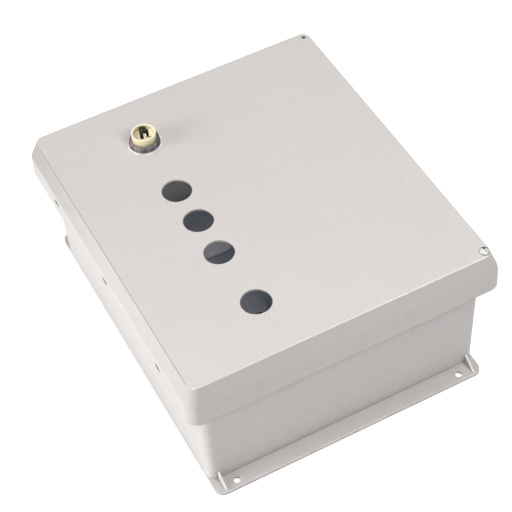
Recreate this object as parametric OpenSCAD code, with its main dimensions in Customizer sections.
// Magnetic motor starter in a moulded box with a hinged, flared-skirt cover.
// Frame: origin at the centre of the box's back face, +Z out through the
// cover, +Y towards the end that carries the control operator, +X towards the
// cover fasteners (the hinge is on the -X side). Lengths are in millimetres.

/* [Enclosure base] */
// Width of the base across its back face
base_w = 301.8; // [301:0.2:303]
// Length of the base across its back face, without the mounting flanges
base_l = 353.4; // [352.6:0.2:354]
// Outward draft of the base's walls, mm per mm of height
base_draft = 0.023; // [0.02:0.001:0.024]
// Thickness of the base's moulded walls
base_wall = 4; // [3:0.25:4.5]
// Height of the base's rim above the back face
rim_z = 161; // [160:0.25:161]
// Length over both mounting flanges
flange_l = 390; // [388:1:394]
// Thickness of the mounting flanges and of the floor
flange_t = 4.5; // [3.5:0.25:5]
// Spacing of the mounting holes across the width
hole_dx = 254; // [240:0.5:262]
// Spacing of the mounting holes along the length
hole_dy = 374.6; // [373:0.1:377]
// Radius of the mounting holes
mount_hole_r = 3.5; // [3:0.25:4.5]

/* [Cover] */
// Width of the flat front of the cover
cover_w = 320.9; // [320:0.1:322]
// Length of the flat front of the cover
cover_l = 369.3; // [368.6:0.1:370.4]
// Height of the cover's front above the back face
cover_z = 170; // [170:0.25:172]
// Thickness of the cover's front plate
cover_t = 3; // [3:0.25:4]
// How far the skirt flares out beyond the flat front, per side
flare = 7; // [6.5:0.25:7.5]
// Drop from the front to the foot of the sloping facet
facet_drop = 21; // [19:0.5:23]
// Drop from the front to the lower edge of the skirt
skirt_drop = 46; // [44:0.5:46.5]
// Radius of the holes for control operators
pilot_hole_r = 15.25; // [15.2:0.05:15.5]
// X of the row of operator holes
pilot_x = -63; // [-66:0.5:-60]
// Y of the operator that is fitted
pilot_y = 120; // [116:0.5:122]

/* [Motion] */
// Travel of the contactor's armature, which is drawn at rest
armature_travel = 4.8; // [3.5:0.1:4.8]
// Travel of the overload relay's reset button, which is drawn at rest
reset_travel = 2.8; // [2:0.1:2.8]

/* [Hidden] */
$fn = 48;
skin = 0.01; // thickness of the slabs that hulls are stretched between

// half sizes [x, y]
base_half = [base_w, base_l] / 2;
cover_half = [cover_w, cover_l] / 2;
opening_half = [146.6, 172.2];
// centre line of the cover seal, and its corner radius
seal_half = [150, 175.6];
seal_r = 13;

facet_z = cover_z - facet_drop;
skirt_z = cover_z - skirt_drop;
under_z = cover_z - cover_t;
skirt_t = 3.6;
panel_z = 14;
panel_top = 16;
foot_top = 22; // top of the feet screwed to the panel

// screws through the feet, and their bores
foot_screw_r = 2.05;
foot_bore_r = 2.6;
tapped_r = 2.1;
panel_cut = [10, 20];
foot_cut = [10, 30];

// centres of the assemblies
operator = [pilot_x, pilot_y, 0];
contactor = [52, 42, 0];
relay = [contactor.x, 0, 0];
transformer = [-72, -86, 0];
terminals = [-95, 40, 0];
lug = [112, -112, 0];

// screw places: absolute for the panel, else from the assembly's centre
panel_corners = corners(112, 138);
contactor_feet = pair_y(60);
relay_feet = pair_x(36, -98.5);
transformer_feet = pair_x(45);
block_feet = pair_y(47);

// cover fasteners and their bosses
fastener = [153.8, -177.8, 0];
boss_places = pair_y(-fastener.y, fastener.x);
boss_top = 154.5;
boss_r = 7;

// hinge; the axis is [x, z]
hinge_axis = [-160.6, 127];
hinge_ys = [116, -4, -124];
pin_r = 1.5;
knuckle_r = 2.6;
hinge_screw_dy = 13;
hinge_screw_z = 142;
hinge_screw_ys = [for (y = hinge_ys, s = [-1, 1]) y + s * hinge_screw_dy];

// empty operator holes
pilot_holes = [[-63.5, 43.5], [-62.5, -3], [-63.5, -50], [-61, -122]];

// ---- shared shapes -------------------------------------------------------

// span of a given half width about a middle
function about(mid, half) = [mid - half, mid + half];
function grow(half, by) = half + [by, by];

// places mirrored in X, in Y, or in both
function pair_x(x, y = 0) = [for (s = [-1, 1]) [s * x, y, 0]];
function pair_y(y, x = 0) = [for (s = [-1, 1]) [x, s * y, 0]];
function corners(x, y) = [for (sx = [-1, 1], sy = [-1, 1]) [sx * x, sy * y, 0]];

module rounded_rect(half, r) {
  square([2 * (half.x - r), 2 * half.y], center = true);
  square([2 * half.x, 2 * (half.y - r)], center = true);
  for (p = corners(half.x - r, half.y - r)) translate(p) circle(r = r, $fn = 32);
}

module slab(half, r, z, t = skin)
  translate([0, 0, z]) linear_extrude(t) rounded_rect(half, r);

// a drafted block between two rounded rectangles
module drafted_block(half0, r0, z0, half1, r1, z1)
  hull() {
    slab(half0, r0, z0);
    slab(half1, r1, z1 - skin);
  }

// box over the spans xs, ys and zs, each [from, to]
module box(xs, ys, zs)
  translate([xs[0], ys[0], zs[0]]) cube([xs[1] - xs[0], ys[1] - ys[0], zs[1] - zs[0]]);

module cyl(place, zs, r)
  translate([place.x, place.y, zs[0]]) cylinder(r = r, h = zs[1] - zs[0]);

module cone(place, zs, r0, r1)
  translate([place.x, place.y, zs[0]]) cylinder(r1 = r0, r2 = r1, h = zs[1] - zs[0]);

// cylinder along X; its axis is at [y, z]
module xcyl(xs, axis, r)
  translate([xs[0], axis[0], axis[1]]) rotate([0, 90, 0])
    cylinder(r = r, h = xs[1] - xs[0]);

// cylinder along Y; its axis is at [x, z]
module ycyl(axis, ys, r)
  translate([axis[0], ys[0], axis[1]]) rotate([-90, 0, 0])
    cylinder(r = r, h = ys[1] - ys[0]);

// slotted pan-head screw along Z with its head's seat at z;
// shank is [radius, length], head is [radius, height]
module pan_screw(place, z, shank, head) {
  head_r = head[0];
  head_h = head[1];
  shoulder_z = z + head_h * 0.6;
  difference() {
    union() {
      cyl(place, [z, shoulder_z], head_r);
      cone(place, [shoulder_z, z + head_h], head_r, head_r * 0.72);
    }
    box(about(place.x, head_r * 0.14), about(place.y, head_r + 1),
      [z + head_h * 0.5, z + head_h + 1]);
  }
  cyl(place, [z - shank[1], z + 0.01], shank[0]);
}

// height of a spring's wire after some of its turns; both end turns lie closed
function coil_height(turn, turns, height, wire_r) =
  let (closed = 2.2 * wire_r)
  turn < 1 ? closed * turn :
  turn > turns - 1 ? height - closed * (turns - turn) :
  closed + (height - 2 * closed) * (turn - 1) / (turns - 2);

// coil spring standing over zs, wound at radius r
module spring(place, zs, r, wire_r, turns) {
  steps = 16; // per turn
  sides = 6; // of the wire
  count = turns * steps;
  height = zs[1] - zs[0] - 2 * wire_r;
  points = [for (i = [0 : count], j = [0 : sides - 1])
    let (a = 360 * i / steps, b = 360 * j / sides, reach = r + wire_r * cos(b))
    [reach * cos(a), reach * sin(a),
      zs[0] + wire_r + coil_height(i / steps, turns, height, wire_r) + wire_r * sin(b)]];
  walls = [for (i = [0 : count - 1], j = [0 : sides - 1], half = [0, 1])
    let (p = i * sides + j, q = i * sides + (j + 1) % sides)
    half == 0 ? [p, q, q + sides] : [p, q + sides, p + sides]];
  caps = [[for (j = [sides - 1 : -1 : 0]) j],
    [for (j = [0 : sides - 1]) count * sides + j]];
  translate([place.x, place.y, 0]) polyhedron(points = points, faces = concat(walls, caps));
}

// wire along a list of points, with a slightly fuller ball at each bend
module wire(path, r) {
  for (i = [0 : len(path) - 2]) {
    run = path[i + 1] - path[i];
    length = norm(run);
    translate(path[i])
      rotate([0, acos(run.z / length), atan2(run.y, run.x)])
        cylinder(r = r, h = length, $fn = 12);
  }
  for (i = [1 : len(path) - 2]) translate(path[i]) sphere(r = r * 1.2, $fn = 12);
}

// ---- enclosure base ------------------------------------------------------

// triangular-ended webs that brace the flanges against the end walls
module flange_ribs() {
  rib_t = 1.9;
  inner_y = base_half.y - 1;
  outer_y = flange_l / 2 - 2;
  for (sx = [-1, 1], sy = [-1, 1])
    scale([1, sy, 1]) translate([sx * (base_half.x - 9.5) - rib_t / 2, 0, 0])
      rotate([90, 0, 90]) linear_extrude(rib_t)
        polygon([[inner_y, 2], [outer_y, 2],
          [outer_y, flange_t + 0.6], [inner_y, flange_t + 12]]);
}

module fastener_bosses()
  for (p = boss_places) {
    cyl(p, [128, boss_top], boss_r);
    cone(p, [108, 128], 1.5, boss_r);
  }

// drafted cavity, and the narrower opening through the rim
module base_cavity() {
  cavity_top = 153.5;
  floor_half = grow(base_half, -base_wall);
  drafted_block(floor_half, 6, flange_t,
    grow(floor_half, base_draft * (cavity_top - flange_t)), 8, cavity_top);
  slab(opening_half, 8, 152, 20);
}

module base_shell()
  difference() {
    union() {
      drafted_block(base_half, 10, 0, grow(base_half, base_draft * rim_z), 12, rim_z);
      slab([base_half.x, flange_l / 2], 9, 0, flange_t);
      flange_ribs();
      fastener_bosses();
    }
    base_cavity();
  }

module enclosure_base() color("#d3d2cc")
  difference() {
    union() {
      base_shell();
      for (p = panel_corners) cyl(p, [flange_t - 1, panel_z], 7);
      for (p = corners(143, 169)) cyl(p, [90, rim_z], 9);
    }
    for (p = corners(hole_dx / 2, hole_dy / 2)) {
      cyl(p, [-1, flange_t + 1], mount_hole_r);
      cyl(p, [-1, flange_t - 1.7], mount_hole_r + 1.4);
    }
    for (p = panel_corners) cyl(p, [6, panel_z + 1], tapped_r);
    for (p = boss_places) {
      cyl(p, [145, boss_top + 1], 5.6);
      cyl(p, [boss_top, rim_z + 1], boss_r);
    }
    for (y = hinge_screw_ys) xcyl([-156, -151.4], [y, hinge_screw_z], 1.6);
  }

module back_panel() color("#9b9ea3")
  difference() {
    slab([125, 163], 8, panel_z, panel_top - panel_z);
    for (p = panel_corners) cyl(p, panel_cut, 2.7);
    for (p = contactor_feet) cyl(contactor + p, panel_cut, tapped_r);
    for (p = relay_feet) cyl(relay + p, panel_cut, tapped_r);
    for (p = transformer_feet) cyl(transformer + p, panel_cut, tapped_r);
    for (p = block_feet) cyl(terminals + p, panel_cut, tapped_r);
    cyl(lug, panel_cut, foot_bore_r);
  }

module panel_screws() color("#b9bcc0")
  for (p = panel_corners)
    pan_screw(p, panel_top, shank = [foot_screw_r, 9], head = [4.8, 3]);

// ground lug: tongue on the panel, and a block with a wire bore and clamp screw
lug_tongue_top = 19;
lug_clamp = lug + [0, 15, 0];

module ground_lug() color("#b98a4a")
  difference() {
    union() {
      box(about(lug.x, 7), [-118, -90], [panel_top, lug_tongue_top]);
      box(about(lug.x, 6), [-104, -90], [lug_tongue_top, 33]);
    }
    cyl(lug, panel_cut, foot_bore_r);
    ycyl([lug.x, 25], [-105, -89], 3.8);
    cyl(lug_clamp, [25, 40], 3);
  }

module ground_lug_screw() color("#4d8a4f") {
  difference() {
    cyl(lug_clamp, [29.5, 37], 2.95);
    box(about(lug.x, 5), about(lug_clamp.y, 0.5), [35, 38]);
  }
  pan_screw(lug, lug_tongue_top, shank = [2.1, 4.5], head = [4.4, 3]);
}

// ---- hinge ---------------------------------------------------------------

// bracket plate on the base's wall, with faces at these X
bracket_xs = [-155.6, -154.4];

module hinge_brackets() color("#a9acae")
  for (y = hinge_ys) translate([0, y, 0])
    difference() {
      arm_zs = [hinge_axis[1] + 1.4, hinge_axis[1] + 2.6];
      union() {
        for (s = [-1, 1]) {
          knuckle_ys = about(s * 13.6, 6.4);
          ycyl(hinge_axis, knuckle_ys, knuckle_r);
          box([hinge_axis[0], bracket_xs[1]], knuckle_ys, arm_zs);
        }
        box(bracket_xs, about(0, 20), [arm_zs[0], 150]);
      }
      ycyl(hinge_axis, about(0, 21), pin_r + 0.02);
      for (s = [-1, 1]) xcyl([-157, -153], [s * hinge_screw_dy, hinge_screw_z], 1.7);
    }

module hinge_bracket_screws() color("#b9bcc0")
  for (y = hinge_screw_ys) {
    xcyl([-157.3, bracket_xs[0]], [y, hinge_screw_z], 3);
    xcyl([-156, -151.6], [y, hinge_screw_z], 1.55);
  }

module hinge_pins() color("#8f9294")
  for (y = hinge_ys) ycyl(hinge_axis, about(y, 20.6), pin_r);

// each leaf is staked through a narrow slot in the skirt
module hinge_leaves() color("#a9acae")
  for (y = hinge_ys) translate([0, y, 0])
    difference() {
      leaf_xs = [-163.85, -162.65];
      leaf_top = 146;
      union() {
        ycyl(hinge_axis, about(0, 7), knuckle_r);
        box(leaf_xs, about(0, 7), [hinge_axis[1], leaf_top]);
        box(leaf_xs, about(0, 15), [131, leaf_top]);
        box([-165.6, -163], about(0, 3.4), [140.6, 142]);
      }
      ycyl(hinge_axis, about(0, 8), pin_r + 0.06);
    }

// ---- cover ---------------------------------------------------------------

// flat ring between two offsets from the seal's centre line
module seal_ring(outer, inner)
  difference() {
    rounded_rect(grow(seal_half, outer), seal_r + outer);
    rounded_rect(grow(seal_half, inner), seal_r + inner);
  }

module cover_outside() {
  flared_half = grow(cover_half, flare);
  hull() {
    slab(flared_half, 12, facet_z);
    slab(cover_half, 9, cover_z - 0.8);
    slab(grow(cover_half, -0.7), 8.6, cover_z - skin);
  }
  hull() {
    slab(grow(flared_half, -0.9), 12, skirt_z);
    slab(grow(flared_half, 0.4), 12.6, skirt_z + 2.5);
    slab(flared_half, 12, facet_z);
  }
}

module cover_cavity() {
  skirt_inner_half = grow(cover_half, flare - skirt_t);
  drafted_block(skirt_inner_half, 8.5, facet_z, grow(cover_half, -2.5), 6, under_z);
  slab(skirt_inner_half, 8.5, skirt_z - 1, facet_z - skirt_z + 1.01);
}

module cover() color("#d6d4cf")
  difference() {
    through = [under_z - 5, cover_z + 5];
    union() {
      difference() {
        cover_outside();
        cover_cavity();
      }
      // ribs along both edges of the gasket, as [outer, inner] offsets
      for (rib = [[4.5, 3.2], [-3.2, -4.6]])
        translate([0, 0, under_z - 3]) linear_extrude(3.5) seal_ring(rib[0], rib[1]);
    }
    for (p = pilot_holes) cyl(p, through, pilot_hole_r);
    cyl(operator, through, pilot_hole_r);
    for (p = boss_places) cyl(p, through, 2.27);
    for (y = hinge_ys) box([-170, -160], about(y, 3.6), [139.9, 142.7]);
  }

module cover_gasket() color("#2b2b2b")
  translate([0, 0, rim_z + 0.05]) linear_extrude(under_z - rim_z - 0.05) seal_ring(3, -3);

module fastener_receptacles() color("#9b9d9e")
  for (p = boss_places)
    difference() {
      cyl(p, [boss_top, boss_top + 1.5], 6.8);
      box(about(p.x, 3.2), about(p.y, 5.7), [150, 160]);
    }

// slotted quarter-turn stud with a crossbar at its tip
module cover_fastener() color("#dcdedf")
  difference() {
    shoulder_z = cover_z + 1.6;
    tip_z = 151.5;
    union() {
      cyl(fastener, [cover_z + 0.02, shoulder_z], 4.75);
      cone(fastener, [shoulder_z, shoulder_z + 1.4], 4.75, 3.2);
      cyl(fastener, [tip_z, cover_z + 0.1], 2.2);
      box(about(fastener.x, 1.2), about(fastener.y, 4.8), [tip_z, tip_z + 2]);
    }
    box(about(fastener.x, 0.6), about(fastener.y, 6), [shoulder_z, cover_z + 4]);
  }

module fastener_retainer() color("#e6e2d6")
  difference() {
    cyl(fastener, [under_z - 1.7, under_z - 0.1], 3.3);
    cyl(fastener, [under_z - 3, under_z + 1], 2.2);
  }

// ---- control operator in the cover ---------------------------------------

collar_z = cover_z + 1.4;
barrel_r = 15.1;
nut_z = 160.2;
nut_top = nut_z + 4.2;
rotor_turn = -27.6; // angle the rotor's face is turned to
plungers = pair_x(8);
operator_screws = corners(10, 25.2);

module operator_bushing() color("#5d5954")
  translate(operator) difference() {
    union() {
      cyl([0, 0], [148, collar_z], barrel_r);
      cone([0, 0], [collar_z, collar_z + 4.6], 16.4, 15.6);
      cone([0, 0], [collar_z + 4.6, collar_z + 6.3], 15.6, 13.2);
    }
    // spanner notches round the collar
    for (i = [0 : 7])
      rotate([0, 0, -151 + 45 * i])
        box([15.35, 20], about(0, 2.2), [collar_z + 1.2, collar_z + 9]);
    cyl([0, 0], [140, 190], 11.06);
    cyl([0, 0], [140, 152.3], 12.5);
  }

module operator_washer() color("#dfe1e2")
  difference() {
    translate([pilot_x, pilot_y, cover_z]) rotate([0, 0, -3])
      cylinder(r = 18.5, h = collar_z - cover_z, $fn = 8);
    cyl(operator, [160, 190], barrel_r + 0.1);
  }

module operator_ring_nut() color("#8f9294")
  difference() {
    translate([pilot_x, pilot_y, nut_z]) rotate([0, 0, 22.5])
      cylinder(r = 21, h = nut_top - nut_z, $fn = 8);
    cyl(operator, [150, 190], barrel_r + 0.02);
  }

module operator_gasket() color("#232323")
  difference() {
    cyl(operator, [nut_top, under_z], 18.4);
    cyl(operator, [160, 170], barrel_r + 0.1);
  }

// rotor core and head; ribs of stepped depth form two ramps on the inner end
module rotor_body() {
  cyl([0, 0], [152, 177.8], 11);
  cyl([0, 0], [177.75, 185.3], 12.6);
  for (start = [0, 180], i = [0 : 11])
    rotate([0, 0, start - 8.5 - 5 * i])
      box([6.3, 9.8], about(0, 0.42), [151.95 - 0.16 * i, 152.5]);
}

// two slanting slots, a cross pocket and a keyway that runs into the wall
module rotor_slots() {
  depth = [150, 200];
  translate([-2.6, 2.3, 0]) rotate([0, 0, -78])
    box(about(0, 7.2), about(0, 1.8), depth);
  translate([3.5, 3.1, 0]) rotate([0, 0, -78])
    box(about(0, 5.6), about(0, 1.35), depth);
  box([-4.4, 3.6], [2.8, 8.4], depth);
  box([-5.8, 0.7], [8.3, 13], depth);
}

// cream core that the knob fits; the knob is missing, so its socket shows
module selector_rotor() color("#e8dfc4")
  translate(operator)
    difference() {
      rotor_body();
      // dished face, less a step left standing at one side
      difference() {
        cyl([0, 0], [181, 190], 10.9);
        rotate([0, 0, rotor_turn]) box([5.6, 12], [-3, 7], [180, 183.4]);
      }
      intersection() {
        union() {
          cyl([0, 0], [160, 190], 9.3);
          cyl([0, 0], [178.6, 183.8], 11.6);
        }
        rotate([0, 0, rotor_turn]) rotor_slots();
      }
    }

module operator_contact_block() color("#262626")
  translate(operator)
    difference() {
      union() {
        box(about(0, 19), about(0, 22), [120, 147.9]);
        for (s = [-1, 1]) box(about(0, 19), about(s * 25, 3.5), [134, 146]);
      }
      for (p = plungers) cyl(p, [123, 150], 2.46);
      for (p = operator_screws) cyl(p, [138, 150], 1.75);
    }

module operator_terminals() color("#c7a75a")
  translate(operator)
    for (p = operator_screws) pan_screw(p, 146, shank = [1.7, 6], head = [3, 2.4]);

module operator_plungers() color("#b8433a")
  translate(operator)
    for (p = plungers) {
      cyl(p, [127, 149.4], 2.4);
      cone(p, [149.4, 151.9], 2.4, 0.6);
    }

// ---- contactor -----------------------------------------------------------
// places are from the contactor's centre

poles = [-26, 0, 26];
barriers = [-44.5, -13, 13, 44.5]; // X of the walls beside the poles
body_half = 46;
core_half = [11, 30];
core_leg_y = 26;
coil_y = 10; // coil terminals
coil_tab_zs = [56, 58];
terminal_y = 47;
guides = pair_x(36);
arc_screws = corners(40, 27);
bobbin_top = 51;
magnet_top = 62;
carrier_z = 70;
terminal_z = 77; // seat of the fixed contacts
strip_top = 79.5;
strap_top = 81.5;
terminal_tip = 69; // tip of the power terminal screws
bridge_zs = [87.4, 89.4];
window_top = 95.4;
arc_z = 100;
arc_top = 106;

module magnet_housing() color("#2a2827")
  translate(contactor)
    difference() {
      union() {
        box(about(0, body_half), about(0, body_half), [panel_top, magnet_top]);
        for (s = [-1, 1]) box(about(0, 12), about(s * 56, 11), [panel_top, foot_top]);
      }
      box(about(0, 40), about(0, 36), [foot_top, 63]);
      for (p = contactor_feet) cyl(p, foot_cut, foot_bore_r);
      for (s = [-1, 1]) box([-48, -38], about(s * coil_y, 4.1), [55.9, 58.1]);
      for (s = [-1, 1], i = [-2 : 2])
        box(about(i * 16, 3), about(s * body_half, 1.5), [28, 52]);
    }

module contactor_mounting_screws() color("#b9bcc0")
  for (p = contactor_feet)
    pan_screw(contactor + p, foot_top, shank = [foot_screw_r, 10], head = [4.6, 3]);

// E-shaped core, its legs towards +Z
module fixed_core() color("#77797b")
  translate(contactor)
    difference() {
      box(about(0, core_half.x), about(0, core_half.y), [foot_top, 52]);
      for (s = [-1, 1]) box(about(0, 12), about(s * 15, 7), [32, 53]);
      for (s = [-1, 1]) xcyl(about(0, 12), [s * core_leg_y, 27], 1.6);
    }

module coil_bobbin() color("#e9e4d4")
  translate(contactor)
    difference() {
      union() {
        for (z = [32.5, bobbin_top - 2]) box(about(0, 24), about(0, 21), [z, z + 2]);
        box(about(0, 13.5), about(0, 10.5), [33, 50]);
      }
      box(about(0, 11.4), about(0, 8.4), [30, 60]);
    }

module coil_winding() color("#8c3b22")
  translate(contactor + [0, 0, 34.5])
    linear_extrude(14.5) difference() {
      rounded_rect([22.5, 19.5], 5);
      square([27, 21], center = true);
    }

module coil_terminals() color("#c7a75a")
  translate(contactor)
    for (p = pair_y(coil_y, -51)) {
      difference() {
        box([-56, -26], about(p.y, 4), coil_tab_zs);
        cyl(p, [50, 60], 1.8);
      }
      pan_screw(p, coil_tab_zs[1], shank = [1.75, 5], head = [3.4, 2.4]);
    }

// terminal shelves, inner contact shelves and their barriers
module contact_shelves()
  for (s = [-1, 1]) scale([1, s, 1]) {
    box(about(0, body_half), [35.5, 54], [66, terminal_z]);
    for (x = barriers) box(about(x, 1.5), [35.5, 54], [76, 94]);
    box(about(0, 43), [14, 32.5], [70.2, terminal_z]);
    for (x = [-13, 13]) box(about(x, 1.2), [12, 33], [76, arc_z]);
  }

module contact_housing() color("#33302e")
  translate(contactor)
    difference() {
      union() {
        difference() {
          box(about(0, body_half), about(0, 36), [magnet_top, arc_z]);
          box(about(0, 42.5), about(0, 32), [61, 101]);
        }
        contact_shelves();
        for (p = corners(40, 28)) box(about(p.x, 2.6), about(p.y, 4.4), [76, arc_z]);
      }
      for (x = poles, s = [-1, 1]) {
        box(about(x, 6), about(s * 34, 3), [terminal_z, 79.6]);
        cyl([x, s * terminal_y], [68, 80], 2.05);
      }
      for (p = arc_screws) cyl(p, [84, 101], 1.5);
    }

// strip and contact button for each pole, on the +Y side
module fixed_contacts()
  for (x = poles) {
    difference() {
      box(about(x, 5.9), [15, 53], [terminal_z, strip_top]);
      cyl([x, terminal_y], [70, 90], 2.2);
    }
    cyl([x, 19], [79.4, 81], 3.6);
  }

module line_contacts() color("#b06a3c")
  translate(contactor) fixed_contacts();

module load_contacts() color("#b06a3c")
  translate(contactor) scale([1, -1, 1]) fixed_contacts();

module power_screw(place, z)
  pan_screw(place, z, shank = [2, z - terminal_tip], head = [4.6, 3.4]);

module terminal_screws() color("#c9c4b4")
  translate(contactor)
    for (x = poles) {
      power_screw([x, terminal_y], strip_top);
      power_screw([x, -terminal_y], strap_top);
    }

module arc_cover() color("#4a2620")
  translate(contactor)
    difference() {
      union() {
        box(about(0, body_half), about(0, 36), [arc_z, arc_top]);
        box(about(0, 40), about(0, 24), [arc_top, 109]);
      }
      for (p = guides) cyl(p, [90, 105], 2);
      for (p = arc_screws) cyl(p, [90, 110], 1.6);
      cyl([0, 0], [90, 112], 3.2);
      for (x = [-30, -18, 18, 30], s = [-1, 1])
        box(about(x, 4), about(s * 16, 1), [104, 112]);
    }

module arc_cover_screws() color("#b9bcc0")
  for (p = arc_screws)
    pan_screw(contactor + p, arc_top, shank = [1.45, 14], head = [3, 2.2]);

module carrier_guide_pins() color("#9a9da0")
  for (p = guides) cyl(contactor + p, [60, 105], 1.98);

module return_spring() color("#8d9092")
  spring(contactor, [bobbin_top, magnet_top], r = 15.4, wire_r = 0.8, turns = 4);

// E-shaped armature, its legs towards the fixed core
module armature() color("#77797b")
  translate(contactor)
    difference() {
      leg_zs = [57, magnet_top + 0.1];
      union() {
        box(about(0, core_half.x), about(0, core_half.y), [magnet_top, carrier_z]);
        box(about(0, core_half.x), about(0, 8), leg_zs);
        for (s = [-1, 1]) box(about(0, core_half.x), about(s * core_leg_y, 4), leg_zs);
      }
      for (s = [-1, 1]) xcyl(about(0, 12), [s * core_leg_y, 66], 1.6);
    }

module contact_carrier() color("#8b1f1a")
  translate(contactor)
    difference() {
      union() {
        box(about(0, 40), about(0, 9), [carrier_z, 78]);
        for (x = poles) box(about(x, 5.6), about(0, 6), [77, 98]);
        cyl([0, 0], [97, 107], 3);
      }
      for (x = poles) box(about(x, 4.2), about(0, 7), [bridge_zs[0], window_top]);
      for (p = guides) cyl(p, [60, 80], 2.05);
    }

module moving_contacts() color("#b06a3c")
  translate(contactor)
    for (x = poles) {
      box(about(x, 4), about(0, 23), bridge_zs);
      for (s = [-1, 1]) cyl([x, s * 19], [85.9, 87.5], 3.4);
    }

module contact_springs() color("#8d9092")
  for (x = poles)
    spring(contactor + [x, 0, 0], [bridge_zs[1], window_top],
      r = 2.7, wire_r = 0.45, turns = 4);

module auxiliary_contact_block() color("#2d2b2a")
  translate(contactor)
    difference() {
      box([body_half, 60], about(0, 24), [60, 92]);
      for (s = [-1, 1], z = [66, 78]) box([56, 61], about(s * 16, 5), [z, z + 8]);
    }

// ---- overload relay ------------------------------------------------------
// X is from the relay's centre, Y from the box's

relay_ys = [-94, -34];
strap_y = -41;
heater_ys = [-55, -82];
load_y = -89.5;
relay_top = 66;
heater_top = 68;
load_top = 68.5;
reset = [-55, -50, 0];

module bus_straps() color("#b06a3c")
  translate(relay) for (x = poles)
    difference() {
      contactor_end = contactor.y - terminal_y;
      box(about(x, 5), [strap_y - 6, contactor_end + 6], [strip_top, strap_top]);
      for (y = [contactor_end, strap_y]) cyl([x, y], [70, 90], 2.2);
    }

module relay_body() {
  box(about(0, body_half), relay_ys, [panel_top, relay_top]);
  box(about(0, body_half), [-48, relay_ys[1]], [65, strip_top]);
  for (x = barriers) box(about(x, 1.5), [relay_ys[0], -47], [65, 86]);
  box([-64, -45.9], relay_ys, [panel_top, 84]);
  for (p = relay_feet) box(about(p.x, 8), [-104, -93.9], [panel_top, foot_top]);
}

module overload_housing() color("#33302e")
  translate(relay)
    difference() {
      relay_body();
      for (x = poles) {
        box(about(x, 8), [-77, -61], [22, 67]);
        cyl([x, strap_y], [66, 80], 2.05);
        for (y = heater_ys) cyl([x, y], [58, 67], 1.75);
        cyl([x, load_y], [58, 67], 2.05);
      }
      // trip bar's channel and the switch compartment
      box([-62, 36], [-72.6, -63.4], [49, 57]);
      box([-62, -49], [-92, -36], [22, 81]);
      cyl(reset, [80, 90], 5.05);
      for (p = relay_feet) cyl(p, foot_cut, foot_bore_r);
    }

module overload_mounting_screws() color("#b9bcc0")
  for (p = relay_feet)
    pan_screw(relay + p, foot_top, shank = [foot_screw_r, 10], head = [4.4, 3]);

module heater_elements() color("#9a8f7c")
  translate(relay)
    for (x = poles) {
      difference() {
        box(about(x, 7), [-85, -51], [relay_top, heater_top]);
        box(about(x, 4), [-76, -62], [60, 70]);
        for (y = heater_ys) cyl([x, y], [60, 70], 1.9);
      }
      for (s = [-1, 1]) box(about(x + s * 5, 0.7), [-75, -62], [58, relay_top + 0.1]);
    }

module heater_screws() color("#c9c4b4")
  translate(relay)
    for (x = poles) {
      for (y = heater_ys)
        pan_screw([x, y], heater_top, shank = [1.7, 9], head = [3.2, 2.4]);
      power_screw([x, strap_y], strap_top);
      pan_screw([x, load_y], load_top, shank = [2, 9.5], head = [3.7, 3]);
    }

module bimetal_strips() color("#a7a08d")
  translate(relay) for (x = poles) box(about(x, 0.4), about(-68, 1), [22, 60]);

module trip_bar() color("#c9b58a")
  translate(relay) difference() {
    box([-58, 33], about(-68, 4), [50, 56]);
    for (x = poles) box([x - 1, x + 4.2], about(-68, 1.5), [48, 58]);
  }

module overload_load_terminals() color("#b06a3c")
  translate(relay) for (x = poles)
    difference() {
      box(about(x, 5.9), [relay_ys[0], -85.5], [relay_top, load_top]);
      cyl([x, load_y], [60, 70], 2.2);
    }

module overload_switch() color("#c7a75a")
  translate(relay)
    for (y = [-86, -79]) box([-61.5, -60.3], about(y, 2.5), [22, 70]);

module reset_button() color("#3a6ea5")
  translate(relay) {
    cyl(reset, [60, 87.2], 5);
    cyl(reset, [87, 92], 7.2);
  }

module reset_spring() color("#8d9092")
  spring(relay + reset, [22, 60], r = 3.6, wire_r = 0.6, turns = 10);

// ---- control transformer, terminals and wiring ---------------------------

bracket_top = 18;
core_top = 82;
tap_top = 88;
taps = [for (i = [-1.5 : 1.5]) [i * 12, 0, 0]];
block_pitch = 13.6;
block_top = 34;
block_screws = [for (i = [-2.5 : 2.5], s = [-1, 1]) [s * 6.5, i * block_pitch, 0]];

module transformer_bracket() color("#8b8d8f")
  translate(transformer)
    difference() {
      union() {
        box(about(0, 50), about(0, 15), [panel_top, bracket_top]);
        for (s = [-1, 1]) box(about(s * 39, 1), about(0, 15), [bracket_top, 70]);
      }
      for (p = transformer_feet) cyl(p, panel_cut, foot_bore_r);
    }

module transformer_core() color("#5c5e60")
  translate(transformer)
    difference() {
      box(about(0, 38), about(0, 16), [bracket_top, core_top]);
      for (s = [-1, 1]) box(about(s * 19, 7), about(0, 17), [32, 68]);
      for (s = [-1, 1], z = [25, 75]) ycyl([s * 32, z], about(0, 17), 2);
    }

module transformer_winding() color("#d9c79a")
  translate(transformer + [0, 0, 32.3])
    linear_extrude(35.4) difference() {
      rounded_rect([25.6, 29], 6);
      square([24.4, 32.4], center = true);
    }

module transformer_terminals() color("#2d2b2a")
  translate(transformer)
    difference() {
      box(about(0, 24), about(0, 12), [core_top, tap_top]);
      for (p = taps) cyl(p, [84, 90], 1.75);
    }

module transformer_screws() color("#c9c4b4")
  translate(transformer) {
    for (p = transformer_feet)
      pan_screw(p, bracket_top, shank = [foot_screw_r, 5], head = [4.2, 3]);
    for (p = taps) pan_screw(p, tap_top, shank = [1.7, 3.5], head = [3.4, 2.4]);
  }

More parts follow.
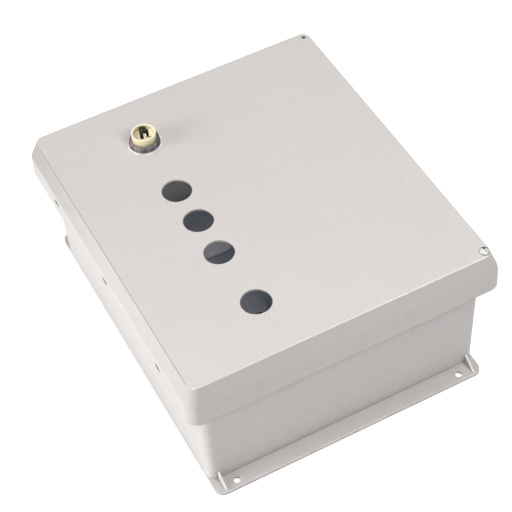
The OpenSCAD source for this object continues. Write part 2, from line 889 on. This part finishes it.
module terminal_block() color("#26262a")
  translate(terminals)
    difference() {
      union() {
        box(about(0, 12), about(0, 52), [panel_top, foot_top]);
        box(about(0, 12), about(0, 42), [21, block_top]);
        for (i = [-3 : 3]) box(about(0, 12), about(i * block_pitch, 1.2), [33, 42]);
      }
      for (p = block_feet) cyl(p, foot_cut, foot_bore_r);
      for (p = block_screws) cyl(p, [28, 36], 1.75);
    }

module terminal_block_screws() color("#c9c4b4")
  translate(terminals) {
    for (p = block_feet)
      pan_screw(p, foot_top, shank = [foot_screw_r, 8], head = [4.2, 3]);
    for (p = block_screws) pan_screw(p, block_top, shank = [1.7, 5], head = [3.4, 2.4]);
  }

// start of a wire at the terminal block, a number of pitches from its middle
function wire_start(i) = terminals + [11.5, i * block_pitch, 35.5];

// two wires to the coil, then two to the transformer; points are [x, y, z]
wire_paths = [
  [wire_start(0.5), [-72, 47, 44], [-38, 46, 48], [-12, 46.2, 49], [-5.6, 51.4, 57]],
  [wire_start(-0.5), [-72, 31, 39], [-30, 24, 40], [-8, 22, 46], [-5.6, 31.5, 57]],
  [wire_start(-1.5), [-74, 10, 60], [-60, -40, 92], [-58, -78, 94], [-60, -84, 92.6]],
  [wire_start(-2.5), [-78, 0, 60], [-84, -40, 92], [-90, -78, 94], [-90, -84, 92.6]]
];

module control_wires() color("#3a3d44")
  for (path = wire_paths) wire(path, 1.2);

enclosure_base();
back_panel();
panel_screws();
hinge_brackets();
hinge_bracket_screws();
hinge_pins();
fastener_receptacles();
ground_lug();
ground_lug_screw();
magnet_housing();
contact_housing();
arc_cover();
arc_cover_screws();
contactor_mounting_screws();
fixed_core();
coil_bobbin();
coil_winding();
coil_terminals();
line_contacts();
load_contacts();
terminal_screws();
carrier_guide_pins();
return_spring();
auxiliary_contact_block();
armature();
contact_carrier();
moving_contacts();
contact_springs();
bus_straps();
overload_housing();
overload_mounting_screws();
heater_elements();
heater_screws();
bimetal_strips();
overload_load_terminals();
overload_switch();
trip_bar();
reset_button();
reset_spring();
transformer_core();
transformer_winding();
transformer_bracket();
transformer_terminals();
transformer_screws();
terminal_block();
terminal_block_screws();
control_wires();
cover();
cover_gasket();
hinge_leaves();
operator_bushing();
operator_washer();
operator_ring_nut();
operator_gasket();
operator_contact_block();
operator_terminals();
operator_plungers();
selector_rotor();
cover_fastener();
fastener_retainer();
